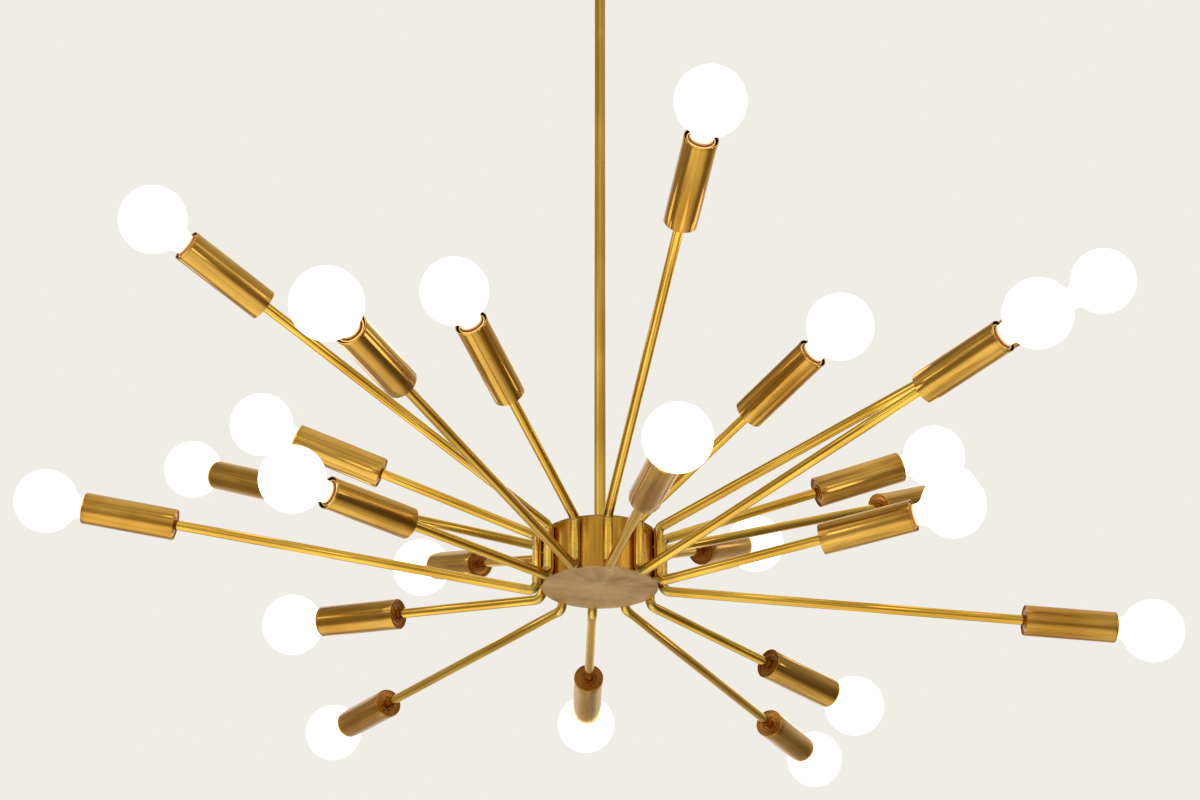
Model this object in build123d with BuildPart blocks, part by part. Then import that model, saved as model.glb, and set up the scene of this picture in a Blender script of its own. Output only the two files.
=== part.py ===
from build123d import *
import os
from math import cos, radians, sin, sqrt

# Brass sputnik chandelier. Twelve tubes, each bent into a square bracket, are soldered round a
# short drum that hangs on a stem. One end of each tube is long and the other short, and every
# second tube stands upside down, which gives twelve upper and twelve lower lamps.
# Millimetres, +Z up. The origin is the middle of the ceiling crossbar's top face, and the
# azimuth of an arm is counted from -Y towards +X.

# ---- hanging height ----
drop = 1000.0  # ceiling to the drum's underside

# ---- drum ----
drum_diameter = 148.0
drum_height = 67.0
drum_wall = 1.5
bottom_plate_thickness = 2.0
cover_thickness = 1.5
plate_edge_radius = 0.5
bridge_width = 24.0
bridge_thickness = 3.0

# ---- bent arm tubes ----
arm_count = 12
first_azimuth = 7.0
arm_diameter = 12.7
arm_wall = 1.35
bend_radius = 10.0
solder_film = 0.05  # between pieces that are soldered or pressed together
long_reach = 556.0  # from the bend's corner to the seat of the lamp's contact
short_reach = 306.0
lower_corner_below_drum = 3.0
upper_corner_below_top = 2.8

# Each arm was bent by eye: (elevation, swing to the right of its azimuth) in degrees,
# first for the upper lamp and then for the lower one.
arm_angles = [
    ((23.5, 4.0), (1.0, 4.5)),
    ((20.5, 4.0), (13.0, 8.5)),
    ((22.0, 1.0), (7.0, 2.0)),
    ((20.0, -2.0), (-3.0, -2.0)),
    ((22.5, 2.5), (-7.5, 5.0)),
    ((22.0, -9.5), (-2.5, -4.0)),
    ((21.0, -2.0), (-4.0, -5.5)),
    ((16.0, -3.0), (0.5, -4.0)),
    ((22.0, -7.0), (4.5, -4.5)),
    ((21.5, -1.5), (10.0, -4.0)),
    ((22.0, 1.5), (4.0, 2.5)),
    ((23.0, 0.0), (6.5, -1.0)),
]
# How far each (upper, lower) bend was made above its nominal height, counted in steps.
bend_step = 0.5
bend_shifts = [
    (-2, 0),
    (0, -4),
    (4, 0),
    (4, 6),
    (0, -4),
    (0, 7),
    (0, 0),
    (0, -4),
    (2, 0),
    (-1, -10),
    (-4, 2),
    (-3, 5),
]

# ---- hollow threaded nipples, the same on the stem and at every lamp ----
nipple_wall = 1.5
nipple_length = 22.0
thread_clearance = 0.05  # the threads themselves are left plain

# ---- lamp holders: a sleeve with an inset end disc on the arm's tip ----
holder_diameter = 40.0
holder_wall = 1.0
holder_length = 118.0
holder_rim_chamfer = 0.25
mouth_past_cap = 2.0  # how far the mouth stands past the rim of the lamp's cap
end_disc_thickness = 2.0
end_disc_inset = 1.5

# ---- screw sockets ----
socket_diameter = 34.0
socket_front_below_cap = 2.0
socket_chamber_diameter = 26.0
socket_chamber_depth = 16.0
socket_floor = 3.0
socket_base = 4.0
screw_shell_wall = 0.4
screw_shell_lip = 0.8
screw_shell_lip_height = 0.6
cap_clearance = 0.4
contact_height = 3.0
contact_diameter = 8.0
contact_rivet_diameter = 3.0
contact_rivet_tail = 2.0

# ---- globe lamps ----
globe_diameter = 80.0
glass_wall = 1.0
neck_length = 6.6
neck_blend_radius = 12.0
cap_diameter = 26.2
cap_length = 26.0
cap_wall = 0.5
cap_shoulder_height = 8.0
cap_bottom_diameter = 23.0
cap_bottom_height = 6.0
insulator_diameter = 19.0
insulator_height = 5.0
tip_diameter = 9.0
tip_height = 1.2
contact_gap = 0.1
glass_past_cap = 0.3  # how much wider the glass neck is than its cap, in radius
glass_in_cap = 12.0  # how far the neck goes down into the cap

# ---- stem ----
stem_diameter = 15.0
stem_wall = 1.0
stem_bush_length = 15.0
stem_bush_inset = 0.3  # below the end of the tube
stem_joint_above_drum = 620.0  # above the drum's underside

# ---- lock nuts ----
nut_across_flats = 16.0
nut_height = 4.0

# ---- ceiling plate and canopy ----
crossbar_width = 20.0
crossbar_thickness = 3.0
crossbar_end_gap = 5.0
ceiling_bolt_spacing = 70.0
ceiling_bolt_hole = 5.0
canopy_diameter = 120.0
canopy_depth = 45.0
canopy_wall = 1.2
canopy_corner_radius = 8.0
canopy_hole_clearance = 0.4
collar_diameter = 26.0
collar_height = 12.0
collar_running_clearance = 0.05
collar_chamfer = 0.6
collar_screw_diameter = 4.0
collar_screw_head_diameter = 8.0
collar_screw_head_length = 6.0
collar_screw_tip_gap = 0.1

# ---- wiring ----
lamp_lead_diameter = 4.4
lamp_lead_turn = 5.0
wire_hole_clearance = 0.8
upper_wire_height = 44.0  # above the drum's underside
lower_wire_height = 24.0
terminal_diameter = 84.0
terminal_wall = 8.0
terminal_height = 52.0
terminal_pocket_depth = 6.0
bus_ring_wall = 2.0
bus_ring_height = 10.0
supply_lead_clearance = 0.7
supply_lead_turn = 10.0
supply_lead_end_gap = 0.5

# ---- what follows from them ----
drum_radius = drum_diameter / 2
drum_inner_radius = drum_radius - drum_wall
arm_radius = arm_diameter / 2
arm_bore_radius = arm_radius - arm_wall
arm_circle_radius = drum_radius + solder_film + arm_radius

drum_underside = -drop
plate_top = drum_underside + bottom_plate_thickness
cover_bottom = plate_top + drum_height
drum_top = cover_bottom + cover_thickness
lower_corner_height = drum_underside - lower_corner_below_drum
upper_corner_height = drum_top - upper_corner_below_top
wire_heights = (drum_underside + upper_wire_height, drum_underside + lower_wire_height)

nipple_radius = arm_bore_radius - thread_clearance
nipple_bore_radius = nipple_radius - nipple_wall
threaded_hole_radius = nipple_radius + thread_clearance

holder_radius = holder_diameter / 2
holder_inner_radius = holder_radius - holder_wall

# Heights along a lamp's own axis, counted outwards from the face of its centre contact.
mouth_height = cap_length + mouth_past_cap
holder_back_height = mouth_height - holder_length
end_disc_back_height = holder_back_height + end_disc_inset
socket_front_height = cap_length - socket_front_below_cap
socket_bore_height = -contact_height
socket_chamber_top = socket_bore_height - socket_floor
socket_chamber_bottom = socket_chamber_top - socket_chamber_depth
arm_tip_height = socket_chamber_bottom - socket_base
screw_shell_bore_radius = cap_diameter / 2 + cap_clearance
screw_shell_radius = screw_shell_bore_radius + screw_shell_wall
socket_bore_radius = screw_shell_radius + solder_film
lead_tip_height = socket_chamber_top - contact_rivet_tail

# The concave neck of the glass touches the neck cylinder below and the globe above.
globe_radius = globe_diameter / 2
neck_radius = cap_diameter / 2 + glass_past_cap
blend_centre_radius = neck_radius + neck_blend_radius
blend_centre_height = cap_length + neck_length
blend_to_globe = sqrt((globe_radius + neck_blend_radius) ** 2 - blend_centre_radius**2)
globe_height = blend_centre_height + blend_to_globe
hollow_radius = globe_radius - glass_wall
neck_bore_radius = cap_diameter / 2 - cap_wall - solder_film - glass_wall
hollow_blend_radius = blend_centre_radius - neck_bore_radius
hollow_blend_rise = sqrt((hollow_radius + hollow_blend_radius) ** 2 - blend_centre_radius**2)

stem_radius = stem_diameter / 2
stem_bore_radius = stem_radius - stem_wall
stem_top = -crossbar_thickness - nut_height
stem_joint = drum_underside + stem_joint_above_drum
canopy_radius = canopy_diameter / 2
canopy_hole_radius = stem_radius + canopy_hole_clearance
crossbar_length = 2 * (canopy_radius - canopy_wall - crossbar_end_gap)
bridge_bottom = cover_bottom - bridge_thickness

lamp_lead_radius = lamp_lead_diameter / 2
wire_hole_radius = lamp_lead_radius + wire_hole_clearance
terminal_radius = terminal_diameter / 2
terminal_bore_radius = terminal_radius - terminal_wall
lead_end_radius = terminal_radius - terminal_pocket_depth
supply_lead_radius = nipple_bore_radius - supply_lead_clearance
bus_ring_radius = terminal_bore_radius - solder_film

os.makedirs("parts", exist_ok=True)


def finish(builder, name):
    """Label a piece and write it under the same name."""
    builder.part.label = name
    export_step(builder.part, f"parts/{name}.step")


def arm_azimuth(index):
    """Azimuth of a tube on the drum, in degrees."""
    return first_azimuth + index * 360 / arm_count


def direction(azimuth, elevation=0.0):
    """Unit vector outwards at an azimuth from -Y towards +X and an elevation."""
    turn = radians(azimuth)
    rise = radians(elevation)
    return Vector(sin(turn) * cos(rise), -cos(turn) * cos(rise), sin(rise))


def corner(index, upper):
    """Where the centre line of a tube would turn if its bend were sharp."""
    nominal = upper_corner_height if upper else lower_corner_height
    shift = bend_step * bend_shifts[index][0 if upper else 1]
    return direction(arm_azimuth(index)) * arm_circle_radius + Vector(0, 0, nominal + shift)


def lamp_axis(index, upper):
    """Unit vector along an arm, from its bend to its lamp."""
    elevation, swing = arm_angles[index][0 if upper else 1]
    return direction(arm_azimuth(index) + swing, elevation)


def lamp_point(index, upper, height):
    """Point on a lamp's axis, at a height over the face of its centre contact."""
    is_long = (index % 2 == 0) == upper
    reach = long_reach if is_long else short_reach
    return corner(index, upper) + lamp_axis(index, upper) * (reach + height)


def lamp_location(index, upper):
    """A lamp's own frame: +Z outwards along the arm, origin on the contact's face."""
    level = direction(arm_azimuth(index) + 90)
    seat = lamp_point(index, upper, 0)
    return Plane(origin=seat, x_dir=level, z_dir=lamp_axis(index, upper)).location


def wire_exit(index, height):
    """Frame of a wire hole: origin on the tube's centre line, +Z towards the drum's axis."""
    outwards = direction(arm_azimuth(index))
    origin = outwards * arm_circle_radius + Vector(0, 0, height)
    return Plane(origin=origin, z_dir=-outwards).location


upper_lamps = [lamp_location(index, True) for index in range(arm_count)]
lower_lamps = [lamp_location(index, False) for index in range(arm_count)]
all_lamps = upper_lamps + lower_lamps
wire_exits = [wire_exit(index, height) for index in range(arm_count) for height in wire_heights]


# ---- ceiling crossbar ----
with BuildPart() as crossbar:
    with BuildSketch(Plane.XY.offset(-crossbar_thickness)):
        SlotOverall(crossbar_length, crossbar_width)
        Circle(threaded_hole_radius, mode=Mode.SUBTRACT)
        with GridLocations(ceiling_bolt_spacing, 0, 2, 1):
            Circle(ceiling_bolt_hole / 2, mode=Mode.SUBTRACT)
    extrude(amount=crossbar_thickness)
finish(crossbar, "ceiling_crossbar")

# ---- canopy, its collar and the collar's screw ----
with BuildPart() as canopy:
    with BuildSketch(Plane.XZ):
        with BuildLine():
            FilletPolyline(
                (canopy_hole_radius, -canopy_depth),
                (canopy_radius, -canopy_depth),
                (canopy_radius, 0),
                radius=canopy_corner_radius,
            )
            Line((canopy_radius, 0), (canopy_radius - canopy_wall, 0))
            FilletPolyline(
                (canopy_radius - canopy_wall, 0),
                (canopy_radius - canopy_wall, canopy_wall - canopy_depth),
                (canopy_hole_radius, canopy_wall - canopy_depth),
                radius=canopy_corner_radius - canopy_wall,
            )
            Line((canopy_hole_radius, canopy_wall - canopy_depth), (canopy_hole_radius, -canopy_depth))
        make_face()
    revolve(axis=Axis.Z)
finish(canopy, "canopy")

collar_bottom = -canopy_depth - collar_height
collar_screw_height = collar_bottom + collar_height / 2
collar_screw_radius = collar_screw_diameter / 2
screw_plane = Plane(origin=(0, 0, collar_screw_height), x_dir=(1, 0, 0), z_dir=(0, 1, 0))
with BuildPart() as collar:
    with BuildSketch(Plane.XY.offset(collar_bottom)):
        Circle(collar_diameter / 2)
        Circle(stem_radius + collar_running_clearance, mode=Mode.SUBTRACT)
    extrude(amount=collar_height)
    chamfer(collar.edges().group_by(Axis.Z)[0].sort_by(SortBy.RADIUS)[-1], collar_chamfer)
    with BuildSketch(screw_plane):
        Circle(collar_screw_radius + thread_clearance)
    extrude(amount=collar_diameter, mode=Mode.SUBTRACT)
finish(collar, "canopy_collar")

screw_tip = stem_radius + collar_screw_tip_gap
head_start = collar_diameter / 2
with BuildPart() as collar_screw:
    with BuildSketch(screw_plane.offset(screw_tip)):
        Circle(collar_screw_radius)
    extrude(amount=head_start - screw_tip)
    with BuildSketch(screw_plane.offset(head_start)):
        Circle(collar_screw_head_diameter / 2)
    extrude(amount=collar_screw_head_length)
    chamfer(collar_screw.edges().sort_by(Axis.Y)[-1], collar_chamfer)
finish(collar_screw, "collar_thumb_screw")

# ---- stem: two lengths of tube with threaded bushes in their ends ----
stem_sections = {"stem_upper": (stem_joint, stem_top), "stem_lower": (drum_top, stem_joint)}
for name, (low, high) in stem_sections.items():
    with BuildPart() as stem:
        with BuildSketch(Plane.XY.offset(low)):
            Circle(stem_radius)
            Circle(stem_bore_radius, mode=Mode.SUBTRACT)
        extrude(amount=high - low)
    finish(stem, name)

bush_step = stem_bush_inset + stem_bush_length
bush_bottoms = (
    stem_top - bush_step,
    stem_joint + stem_bush_inset,
    stem_joint - bush_step,
    drum_top + stem_bush_inset,
)
with BuildPart() as stem_bushes:
    for low in bush_bottoms:
        with BuildSketch(Plane.XY.offset(low)):
            Circle(stem_bore_radius - solder_film)
            Circle(threaded_hole_radius, mode=Mode.SUBTRACT)
        extrude(amount=stem_bush_length)
finish(stem_bushes, "stem_bushes")

nut_bottoms = (-crossbar_thickness - nut_height, bridge_bottom - nut_height)
with BuildPart() as lock_nuts:
    for low in nut_bottoms:
        with BuildSketch(Plane.XY.offset(low)):
            RegularPolygon(nut_across_flats / 2, 6, major_radius=False)
            Circle(threaded_hole_radius, mode=Mode.SUBTRACT)
        extrude(amount=nut_height)
finish(lock_nuts, "lock_nuts")

# ---- hollow threaded nipples ----
with BuildPart() as nipple:
    Cylinder(nipple_radius, nipple_length, align=(Align.CENTER, Align.CENTER, Align.MIN))
    Cylinder(
        nipple_bore_radius,
        nipple_length,
        align=(Align.CENTER, Align.CENTER, Align.MIN),
        mode=Mode.SUBTRACT,
    )
nipple_past_arm = socket_base + contact_height
stem_nipples = [
    Location((0, 0, -nipple_length)),
    Location((0, 0, stem_joint - nipple_length / 2)),
    Location((0, 0, bridge_bottom - nut_height)),
]
lamp_nipples = [
    lamp * Location((0, 0, arm_tip_height + nipple_past_arm - nipple_length)) for lamp in all_lamps
]
with BuildPart() as threaded_nipples:
    with Locations(*stem_nipples, *lamp_nipples):
        add(nipple.part)
finish(threaded_nipples, "threaded_nipples")

# ---- drum with its bottom plate, cover and bridge ----
with BuildPart() as bottom_plate:
    with BuildSketch(Plane.XY.offset(drum_underside)):
        Circle(drum_radius)
    extrude(amount=bottom_plate_thickness)
    fillet(bottom_plate.edges().sort_by(Axis.Z)[0], plate_edge_radius)
finish(bottom_plate, "drum_bottom_plate")

with BuildPart() as drum:
    with BuildSketch(Plane.XY.offset(plate_top)):
        Circle(drum_radius)
        Circle(drum_inner_radius, mode=Mode.SUBTRACT)
    extrude(amount=drum_height)
    with Locations(*wire_exits):
        Cylinder(
            wire_hole_radius,
            arm_radius + solder_film + 2 * drum_wall,
            align=(Align.CENTER, Align.CENTER, Align.MIN),
            mode=Mode.SUBTRACT,
        )
finish(drum, "drum")

with BuildPart() as cover:
    with BuildSketch(Plane.XY.offset(cover_bottom)):
        Circle(drum_radius)
        Circle(threaded_hole_radius, mode=Mode.SUBTRACT)
    extrude(amount=cover_thickness)
    fillet(cover.edges().group_by(Axis.Z)[-1].sort_by(SortBy.RADIUS)[-1], plate_edge_radius)
finish(cover, "drum_cover")

with BuildPart() as bridge:
    with BuildSketch(Plane.XY.offset(bridge_bottom)):
        Circle(drum_inner_radius - solder_film)
        Rectangle(drum_diameter, bridge_width, mode=Mode.INTERSECT)
        Circle(threaded_hole_radius, mode=Mode.SUBTRACT)
    extrude(amount=bridge_thickness)
finish(bridge, "drum_bridge")

# ---- terminal ring and its two bus rings ----
terminal_pockets = [
    Plane(
        origin=direction(arm_azimuth(index)) * lead_end_radius + Vector(0, 0, height),
        z_dir=direction(arm_azimuth(index)),
    ).location
    for index in range(arm_count)
    for height in wire_heights
]
with BuildPart() as terminal_ring:
    with BuildSketch(Plane.XY.offset(plate_top)):
        Circle(terminal_radius)
        Circle(terminal_bore_radius, mode=Mode.SUBTRACT)
    extrude(amount=terminal_height)
    with Locations(*terminal_pockets):
        Cylinder(
            lamp_lead_radius + solder_film,
            2 * terminal_pocket_depth,
            align=(Align.CENTER, Align.CENTER, Align.MIN),
            mode=Mode.SUBTRACT,
        )
finish(terminal_ring, "terminal_ring")

with BuildPart() as bus_rings:
    for height in wire_heights:
        with BuildSketch(Plane.XY.offset(height - bus_ring_height / 2)):
            Circle(bus_ring_radius)
            Circle(bus_ring_radius - bus_ring_wall, mode=Mode.SUBTRACT)
        extrude(amount=bus_ring_height)
finish(bus_rings, "bus_rings")

# ---- bent arm tubes ----
for index in range(arm_count):
    with BuildPart() as arm_tube:
        with BuildLine() as centre_line:
            FilletPolyline(
                lamp_point(index, True, arm_tip_height),
                corner(index, True),
                corner(index, False),
                lamp_point(index, False, arm_tip_height),
                radius=bend_radius,
            )
        with BuildSketch(Plane(origin=centre_line.line @ 0, z_dir=centre_line.line % 0)):
            Circle(arm_radius)
            Circle(arm_bore_radius, mode=Mode.SUBTRACT)
        sweep(path=centre_line.line)
        with Locations(*[wire_exit(index, height) for height in wire_heights]):
            Cylinder(
                wire_hole_radius,
                arm_diameter,
                align=(Align.CENTER, Align.CENTER, Align.MIN),
                mode=Mode.SUBTRACT,
            )
    finish(arm_tube, f"arm_tube_{index + 1:02d}")

# ---- wiring ----
for level, upper in (("upper", True), ("lower", False)):
    wire_height = wire_heights[0 if upper else 1]
    with BuildPart() as lamp_leads:
        for index in range(arm_count):
            outwards = direction(arm_azimuth(index))
            lift = Vector(0, 0, wire_height)
            with BuildLine() as lead_line:
                FilletPolyline(
                    lamp_point(index, upper, lead_tip_height),
                    corner(index, upper),
                    outwards * arm_circle_radius + lift,
                    outwards * lead_end_radius + lift,
                    radius=[bend_radius, lamp_lead_turn],
                )
            with BuildSketch(Plane(origin=lead_line.line @ 0, z_dir=lead_line.line % 0)):
                Circle(lamp_lead_radius)
            sweep(path=lead_line.line)
    finish(lamp_leads, f"lamp_leads_{level}")

with BuildPart() as supply_lead:
    with BuildLine() as supply_line:
        FilletPolyline(
            (0, 0, 0),
            (0, 0, wire_heights[0]),
            (bus_ring_radius - bus_ring_wall - supply_lead_end_gap, 0, wire_heights[0]),
            radius=supply_lead_turn,
        )
    with BuildSketch(Plane(origin=supply_line.line @ 0, z_dir=supply_line.line % 0)):
        Circle(supply_lead_radius)
    sweep(path=supply_line.line)
finish(supply_lead, "supply_lead")

# ---- lamp holders: sleeves and end discs ----
with BuildPart() as holder_sleeve:
    with BuildSketch(Plane.XY.offset(holder_back_height)):
        Circle(holder_radius)
        Circle(holder_inner_radius, mode=Mode.SUBTRACT)
    extrude(amount=holder_length)
    chamfer(holder_sleeve.edges().filter_by(GeomType.CIRCLE), holder_rim_chamfer)

with BuildPart() as end_disc:
    with BuildSketch(Plane.XY.offset(end_disc_back_height)):
        Circle(holder_inner_radius - solder_film)
        Circle(arm_radius + solder_film, mode=Mode.SUBTRACT)
    extrude(amount=end_disc_thickness)

# ---- screw sockets: body, screw shell and centre contact ----
with BuildPart() as socket_body:
    with BuildSketch(Plane.XZ):
        with BuildLine():
            Polyline(
                (threaded_hole_radius, arm_tip_height),
                (socket_diameter / 2, arm_tip_height),
                (socket_diameter / 2, socket_front_height),
                (socket_bore_radius, socket_front_height),
                (socket_bore_radius, socket_bore_height),
                (contact_rivet_diameter / 2 + thread_clearance, socket_bore_height),
                (contact_rivet_diameter / 2 + thread_clearance, socket_chamber_top),
                (socket_chamber_diameter / 2, socket_chamber_top),
                (socket_chamber_diameter / 2, socket_chamber_bottom),
                (threaded_hole_radius, socket_chamber_bottom),
                close=True,
            )
        make_face()
    revolve(axis=Axis.Z)

with BuildPart() as screw_shell:
    with BuildSketch(Plane.XZ):
        with BuildLine():
            Polyline(
                (screw_shell_bore_radius, socket_bore_height),
                (screw_shell_radius, socket_bore_height),
                (screw_shell_radius, socket_front_height),
                (screw_shell_radius + screw_shell_lip, socket_front_height),
                (screw_shell_radius + screw_shell_lip, socket_front_height + screw_shell_lip_height),
                (screw_shell_bore_radius, socket_front_height + screw_shell_lip_height),
                close=True,
            )
        make_face()
    revolve(axis=Axis.Z)

with BuildPart() as contact:
    with BuildSketch(Plane.XY.offset(socket_bore_height)):
        Circle(contact_diameter / 2)
    extrude(amount=contact_height)
    with BuildSketch(Plane.XY.offset(lead_tip_height)):
        Circle(contact_rivet_diameter / 2)
    extrude(amount=socket_floor + contact_rivet_tail)

lamp_groups = {
    "holder_sleeves_upper": (holder_sleeve, upper_lamps),
    "holder_sleeves_lower": (holder_sleeve, lower_lamps),
    "holder_end_discs": (end_disc, all_lamps),
    "socket_bodies": (socket_body, all_lamps),
    "screw_shells": (screw_shell, all_lamps),
    "centre_contacts": (contact, all_lamps),
}
for name, (master, places) in lamp_groups.items():
    with BuildPart() as group:
        with Locations(*places):
            add(master.part)
    finish(group, name)

# ---- globe lamps: a hollow glass with its neck in a screw cap ----
def where_arcs_meet(globe, blend, rise):
    """Radius and height at which a globe and the concave blend of its neck touch."""
    share = globe / (globe + blend)
    return (blend_centre_radius * share, globe_height - rise * share)


outer_meeting = where_arcs_meet(globe_radius, neck_blend_radius, blend_to_globe)
hollow_meeting = where_arcs_meet(hollow_radius, hollow_blend_radius, hollow_blend_rise)
hollow_neck_height = globe_height - hollow_blend_rise
with BuildPart() as globe:
    with BuildSketch(Plane.XZ):
        with BuildLine():
            Polyline(
                (neck_bore_radius, cap_length - glass_in_cap),
                (neck_bore_radius + glass_wall, cap_length - glass_in_cap),
                (neck_bore_radius + glass_wall, cap_length + solder_film),
                (neck_radius, cap_length + solder_film),
                (neck_radius, blend_centre_height),
            )
            RadiusArc((neck_radius, blend_centre_height), outer_meeting, neck_blend_radius)
            ThreePointArc(
                outer_meeting,
                (globe_radius, globe_height),
                (0, globe_height + globe_radius),
            )
            Line((0, globe_height + globe_radius), (0, globe_height + hollow_radius))
            ThreePointArc(
                (0, globe_height + hollow_radius),
                (hollow_radius, globe_height),
                hollow_meeting,
            )
            RadiusArc(hollow_meeting, (neck_bore_radius, hollow_neck_height), -hollow_blend_radius)
            Line(
                (neck_bore_radius, hollow_neck_height),
                (neck_bore_radius, cap_length - glass_in_cap),
            )
        make_face()
    revolve(axis=Axis.Z)

with BuildPart() as screw_cap:
    with BuildSketch(Plane.XZ):
        with BuildLine():
            Polyline(
                (0, contact_gap),
                (tip_diameter / 2, contact_gap),
                (tip_diameter / 2, contact_gap + tip_height),
                (insulator_diameter / 2, insulator_height),
                (cap_bottom_diameter / 2, cap_bottom_height),
                (cap_diameter / 2, cap_shoulder_height),
                (cap_diameter / 2, cap_length),
                (cap_diameter / 2 - cap_wall, cap_length),
                (cap_diameter / 2 - cap_wall, cap_shoulder_height),
                (0, cap_shoulder_height),
                close=True,
            )
        make_face()
    revolve(axis=Axis.Z)

for level, places in (("upper", upper_lamps), ("lower", lower_lamps)):
    for index, place in enumerate(places):
        with BuildPart() as lamp:
            with Locations(place):
                add(globe.part)
                add(screw_cap.part)
        finish(lamp, f"{level}_lamp_{index + 1:02d}")
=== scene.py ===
import bmesh
import bpy
import numpy as np
from bpy.props import FloatProperty, FloatVectorProperty, PointerProperty
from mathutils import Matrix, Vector


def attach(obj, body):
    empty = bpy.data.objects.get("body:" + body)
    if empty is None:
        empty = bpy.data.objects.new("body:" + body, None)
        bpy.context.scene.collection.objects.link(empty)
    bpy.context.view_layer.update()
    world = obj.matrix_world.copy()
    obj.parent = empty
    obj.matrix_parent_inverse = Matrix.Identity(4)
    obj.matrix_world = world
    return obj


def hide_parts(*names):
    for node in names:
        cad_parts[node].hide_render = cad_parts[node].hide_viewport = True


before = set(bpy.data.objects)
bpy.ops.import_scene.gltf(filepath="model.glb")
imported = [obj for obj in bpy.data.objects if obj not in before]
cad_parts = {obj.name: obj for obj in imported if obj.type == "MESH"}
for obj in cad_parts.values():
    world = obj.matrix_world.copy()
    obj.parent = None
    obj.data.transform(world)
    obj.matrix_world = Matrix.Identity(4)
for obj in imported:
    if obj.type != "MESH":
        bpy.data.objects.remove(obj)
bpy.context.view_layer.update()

bl_info = {
    "name": "Sputnik chandelier",
    "version": (1, 0, 0),
    "blender": (4, 5, 0),
    "location": "3D View > Sidebar > Chandelier",
    "description": "Makes a brass sputnik chandelier with globe lamps round its CAD model",
    "category": "Add Mesh",
}

# lengths are in millimetres and heights are counted from the ceiling; meshes are in metres
MM = 0.001
GAP = 0.05  # between pieces that are soldered, pressed or cemented together
DROP = 1000.0
ARMS = 12
FIRST_AZIMUTH = 7.0

DRUM_RADIUS = 74.0
DRUM_WALL = 1.5
DRUM_EDGE = 0.2
DRUM_TOP = -929.5
PLATE_TOP = -998.0
PLATE_EDGE = 0.5
COVER_BOTTOM = -931.0
COVER_HOLE = 5.0

ARM_RADIUS = 6.35
ARM_WALL = 1.35
ARM_CIRCLE = DRUM_RADIUS + GAP + ARM_RADIUS
ARM_TIP = -26.0  # over the face of the lamp's centre contact
BEND_RADIUS = 10.0
BEND_STEPS = 18
STRAIGHT_STEP = 22.0
LONG_REACH = 556.0  # from a bend's corner to that face
SHORT_REACH = 306.0
LOWER_CORNER = -DROP - 3.0
UPPER_CORNER = DRUM_TOP - 2.8
SOLDER_REACH = 24.0  # how far from a bend the flame marked the tube
UPRIGHT_MARK = 0.45  # least such mark between the two bends

# heights in this group and the next are over the face of the lamp's centre contact
SLEEVE_BACK = -90.0
SLEEVE_MOUTH = 28.0
SLEEVE_WALL = 1.0
SLEEVE_EDGE = 0.25
GROOVE_FROM_MOUTH = 3.0
GROOVE_DEPTH = 0.3
DISC_BACK = -88.5

THREAD_PITCH = 3.6
THREAD_FADE = 0.6  # turns over which a rolled thread runs out
SHELL_FOOT = -2.9
SHELL_TOP = 24.0
SHELL_CREST = 13.85
SHELL_SHEET = 0.28
CAP_FOOT = 8.6
CAP_TOP = 24.6
CAP_LENGTH = 26.0
CAP_RADIUS = 13.1
CAP_SHEET = 0.3
CAP_THREAD = 0.8
NECK_RADIUS = 13.4
NECK_LENGTH = 6.6
BLEND_RADIUS = 12.0
GLASS_WALL = 1.0
GLOW_FULL = 0.55  # part of the globe's radius below its middle at which the glow is white
ON_AXIS = 1e-9

STEM_RADIUS = 7.5
STEM_WALL = 1.0
STEM_EDGE = 0.35
STEM_JOINT = -380.0
STEM_TOP = -7.0
CANOPY_RADIUS = 60.0
CANOPY_DEPTH = 45.0
CANOPY_WALL = 1.2
CANOPY_CORNER = 8.0
CANOPY_RIM = 0.3
CANOPY_HOLE = STEM_RADIUS + 0.4
COLLAR_MIDDLE = -51.0
SCREW_SHANK = 2.0
SCREW_HEAD = 3.9
HEAD_START = 13.0
KNURL_RIDGES = 24
KNURL_DEPTH = 0.025  # as a share of the head's radius

SHARP_ANGLE = 38.0
WELD = 1e-7  # in metres, as the meshes are

# the camera's place and the lights' aim are in metres, counted from the ceiling
CAMERA_LENS = 77.55
CAMERA_SENSOR = 36.0
CAMERA_PLACE = (0.0, -3.0684, -2.1738)
CAMERA_TILT = 115.10  # degrees from looking straight down
LIGHT_AIM = (0.0, 0.0, -0.9)

# (elevation, swing) of each tube's upper lamp, then of its lower one, in degrees
ARM_ANGLES = [
    ((23.5, 4.0), (1.0, 4.5)),
    ((20.5, 4.0), (13.0, 8.5)),
    ((22.0, 1.0), (7.0, 2.0)),
    ((20.0, -2.0), (-3.0, -2.0)),
    ((22.5, 2.5), (-7.5, 5.0)),
    ((22.0, -9.5), (-2.5, -4.0)),
    ((21.0, -2.0), (-4.0, -5.5)),
    ((16.0, -3.0), (0.5, -4.0)),
    ((22.0, -7.0), (4.5, -4.5)),
    ((21.5, -1.5), (10.0, -4.0)),
    ((22.0, 1.5), (4.0, 2.5)),
    ((23.0, 0.0), (6.5, -1.0)),
]
# how far each tube's (upper, lower) bend lies above its nominal height, in millimetres
BEND_SHIFTS = [
    (-1.0, 0.0),
    (0.0, -2.0),
    (2.0, 0.0),
    (2.0, 3.0),
    (0.0, -2.0),
    (0.0, 3.5),
    (0.0, 0.0),
    (0.0, -2.0),
    (1.0, 0.0),
    (-0.5, -5.0),
    (-2.0, 1.0),
    (-1.5, 2.5),
]
LAMPS = [(index, True) for index in range(ARMS)] + [(index, False) for index in range(ARMS)]


# ---- where things are ----


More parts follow.
